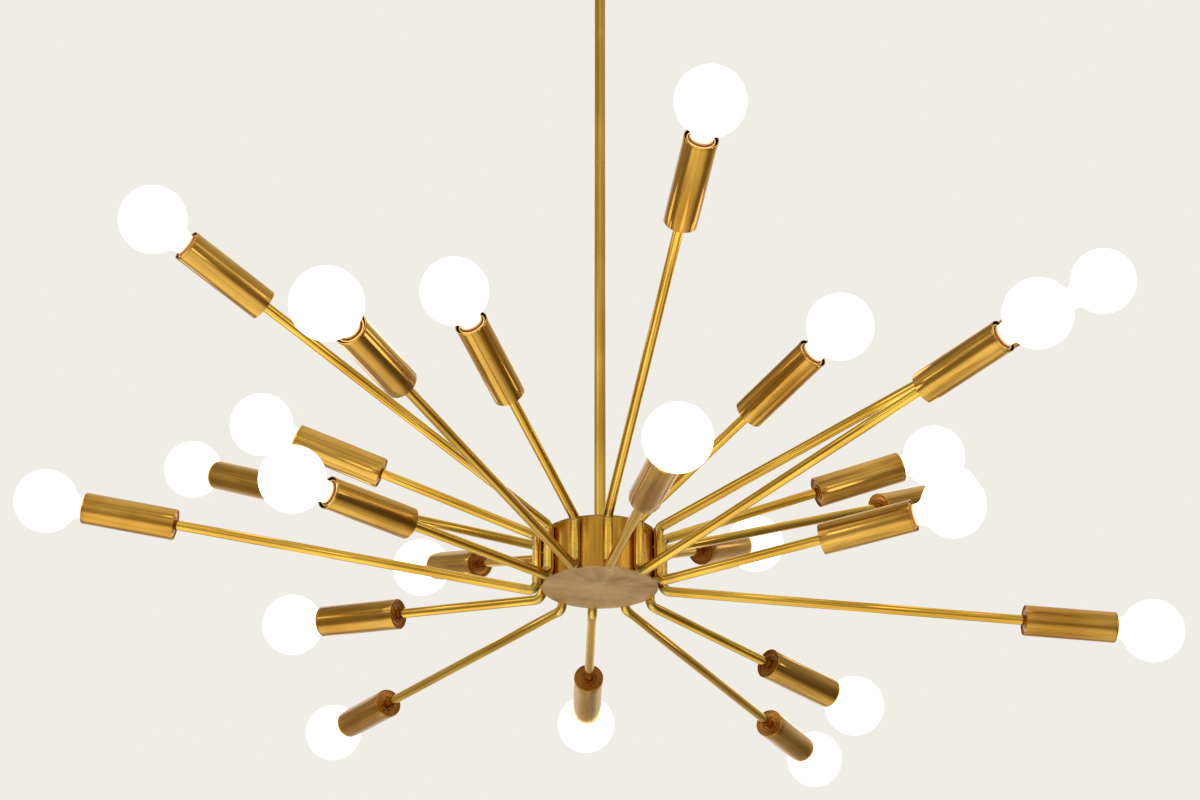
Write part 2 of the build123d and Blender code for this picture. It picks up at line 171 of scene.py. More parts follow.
def direction(azimuth, elevation=0.0):
    """Unit vector outwards, at an azimuth from -Y towards +X and an elevation in degrees."""
    turn, rise = np.radians(azimuth), np.radians(elevation)
    return np.array([np.sin(turn) * np.cos(rise), -np.cos(turn) * np.cos(rise), np.sin(rise)])


def arm_azimuth(index):
    return FIRST_AZIMUTH + index * 360 / ARMS


def corner(index, upper):
    """Where a tube's centre line would turn if its bend were sharp."""
    height = (UPPER_CORNER if upper else LOWER_CORNER) + BEND_SHIFTS[index][0 if upper else 1]
    return direction(arm_azimuth(index)) * ARM_CIRCLE + np.array([0, 0, height])


def lamp_axis(index, upper):
    elevation, swing = ARM_ANGLES[index][0 if upper else 1]
    return direction(arm_azimuth(index) + swing, elevation)


def lamp_point(index, upper, height):
    """Point on a lamp's axis, at a height over the face of its centre contact."""
    reach = LONG_REACH if (index % 2 == 0) == upper else SHORT_REACH
    return corner(index, upper) + lamp_axis(index, upper) * (reach + height)


def lamp_place(index, upper):
    """Rows x, y, z of a lamp's own frame, with z outwards along the arm, and its origin."""
    outwards = lamp_axis(index, upper)
    level = direction(arm_azimuth(index) + 90)
    level = level - outwards * (level @ outwards)
    level /= np.linalg.norm(level)
    return np.array([level, np.cross(outwards, level), outwards]), lamp_point(index, upper, 0)


def lamp_name(kind, index, upper):
    return f"{'upper' if upper else 'lower'}_{kind}_{index + 1:02d}"


# ---- surfaces ----


def patch(points, rows_at, columns_at, rows_close, marks=None):
    """Quads over a grid of points (rows, columns, 3) whose columns close into a ring. The
    parameter of each row and column becomes its UV, and marks are further numbers per point
    that the materials read."""
    rows, columns = points.shape[:2]
    row = np.arange(rows if rows_close else rows - 1)[:, None]
    column = np.arange(columns)[None, :]
    corners = [(row, column), (row, column + 1), (row + 1, column + 1), (row + 1, column)]
    faces = np.stack([(r % rows) * columns + c % columns for r, c in corners], axis=-1)
    grid = faces.shape[:2]
    uvs = [
        np.stack([np.broadcast_to(columns_at[c], grid), np.broadcast_to(rows_at[r], grid)], -1)
        for r, c in corners
    ]
    verts = points.reshape(-1, 3)
    quads = faces.reshape(-1, 4)
    uvs = np.stack(uvs, axis=2).reshape(-1, 4, 2)
    # A closed surface has its faces outwards when the volume under its triangles is positive.
    a, b, c, d = (verts[quads[:, k]] for k in range(4))
    volume = np.einsum("ij,ij->", a, np.cross(b, c)) + np.einsum("ij,ij->", a, np.cross(c, d))
    if volume < 0:
        quads, uvs = quads[:, ::-1], uvs[:, ::-1]
    marks = {
        key: np.broadcast_to(value, (rows, columns)).ravel() for key, value in (marks or {}).items()
    }
    return {"verts": verts, "quads": quads, "uvs": uvs, "marks": marks}


def turned(radius, height, around):
    """Points at each radius r, height z and angle t: (r cos t, r sin t, z)."""
    return np.stack([radius * np.cos(around), radius * np.sin(around), height + 0 * around], -1)


def lathe(profile, columns=64, closed=True, marks=None):
    """Surface of revolution: radius and height of the profile, turned about z."""
    profile = np.asarray(profile, float)
    turn = np.linspace(0, 2 * np.pi, columns + 1)
    points = turned(profile[:, :1], profile[:, 1:2], turn[None, :-1])
    steps = np.linalg.norm(np.diff(np.vstack([profile, profile[:1]]), axis=0), axis=1)
    rows_at = np.concatenate([[0], np.cumsum(steps)]) * MM
    return patch(points, rows_at, turn * profile[:, 0].max() * MM, closed, marks)


def threaded(low, high, crest, depth, thickness, columns=48, per_turn=12):
    """Rolled screw thread, closed as a thin wall. Its radius is the crest less half the depth
    times (1 - cos) of how far the point lies along the helix, and it fades out at both ends."""
    rows = int((high - low) / THREAD_PITCH * per_turn) + 1
    height = np.linspace(low, high, rows)[:, None]
    turn = np.linspace(0, 2 * np.pi, columns + 1)
    around = turn[None, :-1]
    fade = np.clip(np.minimum(height - low, high - height) / (THREAD_FADE * THREAD_PITCH), 0, 1)
    wave = 0.5 * (1 - np.cos(2 * np.pi * height / THREAD_PITCH - around))
    radius = crest - depth * (0.5 + fade * (wave - 0.5))
    outer = turned(radius, height, around)
    inner = turned(radius - thickness, height, around)
    points = np.concatenate([outer, inner[::-1]])
    heights = height[:, 0]
    rows_at = np.concatenate([heights, 2 * high - heights[::-1], [2 * high - low + thickness]]) * MM
    return patch(points, rows_at, turn * crest * MM, True)


def arc(centre, radius, start, end, count):
    """Profile points on an arc, from one angle to another in degrees, both ends included."""
    angle = np.radians(np.linspace(start, end, count))
    return [(centre[0] + radius * np.cos(t), centre[1] + radius * np.sin(t)) for t in angle]


def straight(start, end):
    """Points on a straight run, both ends included, less than a step apart."""
    count = int(np.linalg.norm(end - start) / STRAIGHT_STEP) + 2
    return start + (end - start) * np.linspace(0, 1, count)[:, None]


def rounded_path(points, radius):
    """Centre line of a bent tube: straight runs joined by tangent arcs. On an arc, the vector
    from its centre is the spherical mean of its two end vectors. It gives the points, their
    tangents, and the length up to each point and up to the middle of each bend."""
    centres, tangents, bends = [], [], []
    previous = points[0]
    for before, at, after in zip(points, points[1:], points[2:]):
        back = (before - at) / np.linalg.norm(before - at)
        onward = (after - at) / np.linalg.norm(after - at)
        half = np.arccos(back @ onward) / 2
        start, end = at + back * radius / np.tan(half), at + onward * radius / np.tan(half)
        middle = (back + onward) / np.linalg.norm(back + onward)
        centre = at + middle * radius / np.sin(half)
        centres.append(straight(previous, start)[:-1])
        tangents.append(np.repeat(-back[None], len(centres[-1]), 0))
        sweep = np.pi - 2 * half
        share = np.linspace(0, 1, BEND_STEPS)[:, None]
        one, two = start - centre, end - centre
        blend = np.sin((1 - share) * sweep) * one + np.sin(share * sweep) * two
        centres.append(centre + blend / np.sin(sweep))
        slope = -np.cos((1 - share) * sweep) * one + np.cos(share * sweep) * two
        tangents.append(slope / np.linalg.norm(slope, axis=1, keepdims=True))
        bends.append(sum(len(c) for c in centres) - BEND_STEPS // 2)
        previous = end
    centres.append(straight(previous, points[-1])[1:])
    last = (points[-1] - previous) / np.linalg.norm(points[-1] - previous)
    tangents.append(np.repeat(last[None], len(centres[-1]), 0))
    centres, tangents = np.concatenate(centres), np.concatenate(tangents)
    lengths = np.concatenate([[0], np.cumsum(np.linalg.norm(np.diff(centres, axis=0), axis=1))])
    return centres, tangents, lengths, lengths[bends]


def tube(points, side, radius, wall, columns=32):
    """Bent tube with a wall: circles of the outer and then the inner radius, carried along the
    rounded path, square to it, each starting on the side given."""
    centres, tangents, lengths, bends = rounded_path(points, BEND_RADIUS)
    across = side - tangents * (tangents @ side)[:, None]
    across /= np.linalg.norm(across, axis=1, keepdims=True)
    over = np.cross(tangents, across)
    turn = np.linspace(0, 2 * np.pi, columns + 1)
    around = turn[None, :-1, None]
    spoke = across[:, None] * np.cos(around) + over[:, None] * np.sin(around)
    outer = centres[:, None] + radius * spoke
    inner = centres[:, None] + (radius - wall) * spoke
    rings = np.concatenate([outer, inner[::-1]])
    along = np.concatenate([lengths, 2 * lengths[-1] - lengths[::-1] + wall])
    rows_at = np.concatenate([along, [2 * lengths[-1] + 2 * wall]]) - bends.mean()
    from_bend = np.abs(lengths[:, None] - bends[None]).min(axis=1)
    heated = np.exp(-((from_bend / SOLDER_REACH) ** 2))
    upright = (lengths > bends[0]) & (lengths < bends[1])
    heated = np.where(upright, np.maximum(heated, UPRIGHT_MARK), heated)
    heated = np.concatenate([heated, heated[::-1]])[:, None]
    return patch(rings, rows_at * MM, turn * radius * MM, True, {"heated": heated})


def placed(part, place):
    """The same patch in another frame: its own coordinates times the rows of the frame, plus
    the frame's origin."""
    axes, origin = place
    return {**part, "verts": part["verts"] @ axes + origin}


def make_piece(name, parts, material, body, replaced=()):
    """Puts the patches into one mesh object at the origin, with UVs and marks, which rides a
    body, has a slot for its finish and stands for the replaced CAD nodes."""
    parts = parts if isinstance(parts, list) else [parts]
    starts = np.cumsum([0] + [len(part["verts"]) for part in parts])
    verts = np.concatenate([part["verts"] for part in parts]) * MM
    quads = np.concatenate([part["quads"] + start for part, start in zip(parts, starts)])
    uvs = np.concatenate([part["uvs"] for part in parts])
    mesh = bpy.data.meshes.new(name)
    mesh.from_pydata(verts, [], quads)
    mesh.uv_layers.new(name="UVMap").uv.foreach_set("vector", uvs.reshape(-1).astype(np.float32))
    for key in parts[0]["marks"]:
        values = np.concatenate([part["marks"][key] for part in parts]).astype(np.float32)
        mesh.attributes.new(key, "FLOAT", "POINT").data.foreach_set("value", values)
    welded = bmesh.new()
    welded.from_mesh(mesh)
    bmesh.ops.remove_doubles(welded, verts=welded.verts, dist=WELD)
    welded.to_mesh(mesh)
    welded.free()
    mesh.polygons.foreach_set("use_smooth", np.ones(len(mesh.polygons), bool))
    mesh.set_sharp_from_angle(angle=np.radians(SHARP_ANGLE))
    mesh.materials.append(material)
    piece = bpy.data.objects.new(name, mesh)
    bpy.context.scene.collection.objects.link(piece)
    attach(piece, body)
    if replaced:
        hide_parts(*replaced)
    return piece


def dress(material, *nodes):
    """Gives CAD nodes that keep their own shape a better material."""
    for node in nodes:
        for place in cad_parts[node].material_slots:
            place.material = material


# ---- finishes ----


def linear(red, green, blue):
    """A colour read on a screen, 0 to 255, as the shader's own numbers."""
    value = np.array([red, green, blue]) / 255
    value = np.where(value <= 0.04045, value / 12.92, ((value + 0.055) / 1.055) ** 2.4)
    return (*map(float, value), 1.0)


def add_node(tree, kind, inputs=None, **settings):
    """Adds a node to a tree, sets it up, and gives each named input a value or a link."""
    made = tree.nodes.new(kind)
    for key, value in settings.items():
        setattr(made, key, value)
    for key, value in (inputs or {}).items():
        if isinstance(value, bpy.types.NodeSocket):
            tree.links.new(value, made.inputs[key])
        else:
            made.inputs[key].default_value = value
    return made


class Finish:
    """A material under construction, with a short call for each node that the finishes share."""

    def __init__(self, name, **sockets):
        self.material = bpy.data.materials.new(name)
        self.material.use_nodes = True
        self.tree = self.material.node_tree
        self.tree.nodes.clear()
        self.shader = self.node("ShaderNodeBsdfPrincipled")
        self.output = self.node("ShaderNodeOutputMaterial", {0: self.shader.outputs[0]})
        for socket, value in sockets.items():
            self.shader.inputs[socket.replace("_", " ")].default_value = value

    def node(self, kind, inputs=None, **settings):
        return add_node(self.tree, kind, inputs, **settings)

    def where(self, source="Object", stretch=(1, 1, 1)):
        """Coordinates in metres, stretched."""
        point = self.node("ShaderNodeTexCoord").outputs[source]
        return self.node("ShaderNodeMapping", {"Vector": point, "Scale": stretch}).outputs[0]

    def mark(self, name):
        return self.node("ShaderNodeAttribute", attribute_name=name).outputs["Fac"]

    def noise(self, point, scale, detail=3.0, roughness=0.5, distortion=0.0):
        inputs = {"Vector": point, "Scale": scale, "Detail": detail}
        inputs.update({"Roughness": roughness, "Distortion": distortion})
        return self.node("ShaderNodeTexNoise", inputs).outputs[0]

    def span(self, value, low, high, to_low=0.0, to_high=1.0):
        """Maps a range onto another, held at both ends."""
        inputs = {0: value, 1: low, 2: high, 3: to_low, 4: to_high}
        return self.node("ShaderNodeMapRange", inputs, clamp=True).outputs[0]

    def reckon(self, operation, one, two):
        return self.node("ShaderNodeMath", {0: one, 1: two}, operation=operation).outputs[0]

    def mix(self, share, one, two):
        made = self.node("ShaderNodeMix", {0: share, 6: one, 7: two}, data_type="RGBA")
        return made.outputs[2]

    def put(self, socket, value):
        self.tree.links.new(value, self.shader.inputs[socket])

    def bump(self, height, depth, strength):
        inputs = {"Height": height, "Distance": depth, "Strength": strength}
        self.put("Normal", self.node("ShaderNodeBump", inputs).outputs[0])


SPOT = linear(84, 54, 24)
PIT = linear(74, 46, 26)
SOLDERED = linear(166, 152, 92)
# painted sheen: a pale colour laid in streaks that fan out on the spun plate, in place of its
# highlight
PAINTED_SHEEN = linear(226, 196, 150)
# painted shade: a dark brown glow and a dark glass colour for the lamp's neck in the sleeve's mouth
NECK_SHADE_GLOW = linear(96, 46, 20)
NECK_SHADE_GLASS = linear(96, 56, 34)
OPAL_GLASS = (0.9, 0.88, 0.84, 1.0)
OPAL_LIGHT = (0.92, 0.90, 0.86, 1)
OPAL_DARK = (0.86, 0.84, 0.80, 1)
COARSE_DEPTH = 0.00004  # depths of relief are in metres
FINE_DEPTH = 0.00003


def aged_brass(name, bright, deep, stained, rough, streaked=0.4, spotted=0.4, solder=False):
    """Brass with slow clouds of age, streaks and fine lines along the piece and a few small
    dark spots. Along a bent tube the mark 'heated' turns it greenish grey where solder and
    flame touched it. The lines and streaks follow the UV, which counts metres."""
    finish = Finish(name, Metallic=1.0)
    world = finish.where()
    cloud = finish.noise(world, 7.0, 3.0, 0.55, 0.3)
    streaks = finish.noise(finish.where("UV", (95.0, 6.0, 1.0)), 1.0, 4.0, 0.6, 0.4)
    lines = finish.noise(finish.where("UV", (380.0, 9.0, 1.0)), 1.0, 2.0, 0.5)
    spots = finish.noise(world, 260.0, 2.0, 0.5)
    colour = finish.mix(finish.span(cloud, 0.38, 0.64), bright, deep)
    colour = finish.mix(finish.span(streaks, 0.50, 0.74, 0.0, streaked), colour, stained)
    colour = finish.mix(finish.span(lines, 0.45, 0.72, 0.0, 0.30), colour, stained)
    colour = finish.mix(finish.span(spots, 0.73, 0.78, 0.0, spotted), colour, SPOT)
    roughness = finish.span(streaks, 0.35, 0.7, *rough)
    if solder:
        patches = finish.span(finish.noise(world, 85.0, 4.0, 0.7), 0.36, 0.62)
        ragged = finish.reckon("MULTIPLY", finish.mark("heated"), patches)
        colour = finish.mix(finish.span(ragged, 0.15, 0.9, 0.0, 0.7), colour, SOLDERED)
        roughness = finish.reckon("ADD", roughness, finish.reckon("MULTIPLY", ragged, 0.16))
    finish.put("Base Color", colour)
    finish.put("Roughness", roughness)
    return finish.material


def turned_brass(name, bright, dark, rough, ring_scale, cloud_scale=22.0, fan=0.0):
    """Brass turned or spun: fine rings round the piece's middle under slow clouds of tarnish.
    The rings follow the second UV, which runs along the radius, and a fan of pale streaks, a
    painted sheen for the spun metal's highlight, follows the direction from the object's z axis."""
    finish = Finish(name, Metallic=1.0)
    world, flat = finish.where(), finish.where("UV", (0.0, ring_scale, 0.0))
    rings = finish.noise(flat, 1.0, 4.0, 0.7)
    cloud = finish.noise(world, cloud_scale, 4.0, 0.55, 0.6)
    fine = finish.noise(world, 240.0, 3.0, 0.6)
    colour = finish.mix(finish.span(cloud, 0.32, 0.70), bright, dark)
    colour = finish.mix(finish.span(rings, 0.46, 0.75, 0.0, 0.35), colour, dark)
    colour = finish.mix(finish.span(fine, 0.62, 0.76, 0.0, 0.3), colour, PIT)
    # painted sheen: pale streaks fanning out round the z axis stand for the spun metal's highlight
    if fan:
        level = finish.where("Object", (1, 1, 0))
        around = finish.node("ShaderNodeVectorMath", {0: level}, operation="NORMALIZE")
        streaks = finish.noise(around.outputs[0], 3.2, 3.0, 0.6)
        colour = finish.mix(finish.span(streaks, 0.38, 0.66, fan, 0.0), colour, PAINTED_SHEEN)
    finish.put("Base Color", colour)
    dulled = finish.span(cloud, 0.4, 0.8, 0.0, 0.08)
    finish.put("Roughness", finish.reckon("ADD", finish.span(rings, 0.3, 0.7, *rough), dulled))
    finish.bump(rings, COARSE_DEPTH, 0.6)
    return finish.material


def plain_metal(name, light, dark, rough):
    """Plated steel or bright contact metal: faint clouds, and small pits that dull it."""
    finish = Finish(name, Metallic=1.0)
    world = finish.where()
    cloud = finish.noise(world, 90.0, 3.0, 0.6)
    pits = finish.noise(world, 900.0, 2.0, 0.5)
    finish.put("Base Color", finish.mix(finish.span(cloud, 0.35, 0.7), light, dark))
    finish.put("Roughness", finish.span(cloud, 0.3, 0.7, *rough))
    finish.bump(pits, FINE_DEPTH, 0.4)
    return finish.material


def moulded(name, light, dark, rough, grain, depth=FINE_DEPTH):
    """Moulded or glazed surface: a fine grain and a slow change of shade."""
    finish = Finish(name)
    world = finish.where()
    cloud = finish.noise(world, 60.0, 3.0, 0.55)
    texture = finish.noise(world, grain, 3.0, 0.6)
    finish.put("Base Color", finish.mix(finish.span(cloud, 0.35, 0.7), light, dark))
    finish.put("Roughness", finish.span(texture, 0.3, 0.7, *rough))
    finish.bump(texture, depth, 0.5)
    return finish.material


def lit_opal(name, globe, neck, strength):
    """Opal glass lit from inside: the mark 'along' runs from 0 at the neck to 1 on the globe.
    It turns the glow from a painted shade of brown at the neck through warm to white, and at the
    neck it darkens the glass's colour as painted shade too. Milky clouds stay faint."""
    finish = Finish(name, Base_Color=OPAL_GLASS, Roughness=0.22, Emission_Strength=strength)
    milky = finish.noise(finish.where(), 35.0, 3.0, 0.6)
    along = finish.mark("along")
    # painted shade: near the neck the glow turns dark brown and the glass's colour turns dark
    neck_shade = finish.span(along, 0.06, 0.16)
    glow = finish.mix(finish.span(along, 0.13, 0.50), neck, globe)
    glow = finish.mix(neck_shade, NECK_SHADE_GLOW, glow)
    finish.put("Emission Color", finish.mix(finish.span(milky, 0.35, 0.7, 0.0, 0.06), glow, neck))
    body = finish.mix(finish.span(milky, 0.35, 0.7), OPAL_LIGHT, OPAL_DARK)
    finish.put("Base Color", finish.mix(neck_shade, NECK_SHADE_GLASS, body))
    return finish.material


FINISHES = {}


def finish_named(name):
    """Each finish is made once, from the panel's colours."""
    if name in FINISHES:
        return FINISHES[name]
    looks = bpy.context.scene.chandelier_looks
    tube_brass = (*looks.tube_brass, 1.0)
    sleeve_brass = (*looks.sleeve_brass, 1.0)
    plate_brass = (*looks.plate_brass, 1.0)
    lamp_glow = (*looks.lamp_glow, 1.0)
    recipes = {
        "tube_brass": lambda: aged_brass(
            name, tube_brass, linear(212, 166, 60), linear(144, 98, 36), (0.10, 0.17), solder=True
        ),
        "stem_brass": lambda: aged_brass(
            name, linear(222, 182, 82), linear(200, 158, 62), linear(140, 104, 42), (0.16, 0.24),
            0.45, 0.6,
        ),
        "sleeve_brass": lambda: aged_brass(
            name, sleeve_brass, linear(186, 136, 52), linear(112, 70, 26), (0.11, 0.18), 0.7, 0.35
        ),
        "drum_brass": lambda: aged_brass(
            name, linear(204, 156, 60), linear(182, 132, 46), linear(120, 78, 28), (0.16, 0.24),
            0.4, 0.7,
        ),
        # the plate's last number sets how strong its painted sheen is
        "plate_brass": lambda: turned_brass(
            name, plate_brass, linear(156, 114, 62), (0.34, 0.44), 900.0, 14.0, 0.34
        ),
        "cover_brass": lambda: turned_brass(
            name, linear(176, 136, 84), linear(128, 90, 52), (0.32, 0.44), 900.0
        ),
        "canopy_brass": lambda: turned_brass(
            name, linear(208, 162, 78), linear(176, 122, 50), (0.22, 0.32), 700.0, 12.0
        ),
        "disc_brass": lambda: turned_brass(
            name, linear(188, 132, 62), linear(138, 92, 42), (0.24, 0.34), 900.0, 30.0
        ),
        "contact_brass": lambda: plain_metal(
            name, linear(242, 218, 166), linear(220, 184, 118), (0.20, 0.32)
        ),
        "cap_metal": lambda: plain_metal(
            name, linear(222, 206, 170), linear(190, 168, 124), (0.22, 0.34)
        ),
        "solder": lambda: plain_metal(
            name, linear(190, 190, 186), linear(150, 150, 146), (0.28, 0.42)
        ),
        "zinc": lambda: plain_metal(
            name, linear(196, 198, 196), linear(160, 162, 160), (0.30, 0.44)
        ),
        "phenolic": lambda: moulded(
            name, linear(22, 19, 18), linear(34, 27, 24), (0.28, 0.44), 1400.0
        ),
        "ceramic": lambda: moulded(
            name, linear(232, 227, 214), linear(220, 213, 198), (0.16, 0.26), 500.0
        ),
        "insulation": lambda: moulded(
            name, linear(226, 216, 188), linear(206, 194, 164), (0.42, 0.58), 1600.0, COARSE_DEPTH
        ),
        "opal": lambda: lit_opal(name, lamp_glow, linear(214, 164, 104), looks.glow_strength),
    }
    FINISHES[name] = recipes[name]()
    return FINISHES[name]


# ---- what a user may change ----


class ChandelierLooks(bpy.types.PropertyGroup):
    """Colours and light of the chandelier"""

    tube_brass: FloatVectorProperty(
        name="Tube brass", description="Brightest colour of the bent tubes", subtype="COLOR",
        size=3, min=0.0, max=1.0, default=linear(231, 190, 80)[:3],
    )
    sleeve_brass: FloatVectorProperty(
        name="Sleeve brass", description="Brightest colour of the lamp sleeves", subtype="COLOR",
        size=3, min=0.0, max=1.0, default=linear(211, 166, 77)[:3],
    )
    plate_brass: FloatVectorProperty(
        name="Plate brass", description="Colour of the drum's bottom plate", subtype="COLOR",
        size=3, min=0.0, max=1.0, default=linear(216, 172, 108)[:3],
    )
    lamp_glow: FloatVectorProperty(
        name="Lamp glow", description="Colour of the lit globes", subtype="COLOR",
        size=3, min=0.0, max=1.0, default=(1.0, 0.965, 0.90),
    )
    glow_strength: FloatProperty(
        name="Glow strength", description="How strongly the globes shine",
        default=1.7, min=0.0, max=20.0,
    )
    backdrop: FloatVectorProperty(
        name="Backdrop", description="Colour of the background and floor", subtype="COLOR",
        size=3, min=0.0, max=1.0, default=linear(240, 237, 230)[:3],
    )


class ChandelierSizes(bpy.types.PropertyGroup):
    """Sizes of the globes and the sleeves, and the height of the floor"""

    globe_radius: FloatProperty(
        name="Globe radius", description="Outer radius of a lamp's globe",
        default=0.040, min=0.01, max=0.1, unit="LENGTH",
    )
    sleeve_radius: FloatProperty(
        name="Sleeve radius", description="Outer radius of a lamp sleeve",
        default=0.020, min=0.015, max=0.05, unit="LENGTH",
    )
    floor_height: FloatProperty(
        name="Floor height", description="Height of the floor, counted from the ceiling",
        default=-2.6, min=-6.0, max=-1.5, unit="LENGTH",
    )


# ---- stage ----

# name, place in metres, size, watts, colour
STUDIO_LIGHTS = (
    ("key_light", (-2.6, -2.4, 0.2), 2.0, 12.0, (1.0, 0.97, 0.92)),
    ("fill_light", (2.8, -1.8, -0.4), 1.6, 5.0, (1.0, 0.96, 0.90)),
    ("back_light", (0.4, 2.8, 0.6), 1.8, 8.0, (1.0, 0.97, 0.93)),
)
# the room that the brass mirrors: its light by how steeply the ray rises, from straight down to
# straight up, times its light from side to side, from the upper left to the lower right
ROOM_LEVELS = (
    (-1.0, (1.15, 1.14, 1.12)),
    (-0.86, (1.38, 1.37, 1.35)),
    (-0.70, (1.12, 1.11, 1.09)),
    (-0.60, (0.56, 0.52, 0.47)),
    (-0.42, (0.48, 0.44, 0.39)),
    (-0.12, (0.78, 0.76, 0.73)),
    (0.18, (0.82, 0.81, 0.79)),
    (0.48, (0.68, 0.66, 0.63)),
    (0.72, (0.58, 0.56, 0.53)),
    (0.88, (0.80, 0.79, 0.77)),
    (1.0, (0.90, 0.89, 0.87)),
)
ROOM_SIDES = (
    (-1.0, (0.85, 0.83, 0.80)),
    (-0.92, (0.66, 0.61, 0.55)),
    (-0.82, (0.55, 0.50, 0.44)),
    (-0.66, (0.62, 0.57, 0.51)),
    (-0.42, (1.08, 1.07, 1.05)),
    (0.0, (1.15, 1.14, 1.12)),
    (0.35, (0.98, 0.97, 0.95)),
    (0.6, (0.80, 0.78, 0.75)),
    (0.78, (0.50, 0.45, 0.39)),
    (0.93, (0.26, 0.22, 0.17)),
    (1.0, (0.34, 0.29, 0.24)),
)
SIDEWAYS = (0.94, 0.0, -0.34)
# the camera's line of sight, and the cosines of the angles to it at which the background starts
# to take the room's place and has taken it
BEHIND = (0.0, 0.906, 0.423)
BEHIND_FROM, BEHIND_TO = 0.72, 0.82
# radii in metres, as are the two between which the floor fades out
FLOOR_RINGS = (0.0, 2.0, 5.0, 9.0, 14.0)
FLOOR_COLUMNS = 64
FLOOR_FADE = (3.5, 9.0)
FLOOR_GLOW = 0.14
FLOOR_SHADE = 0.97


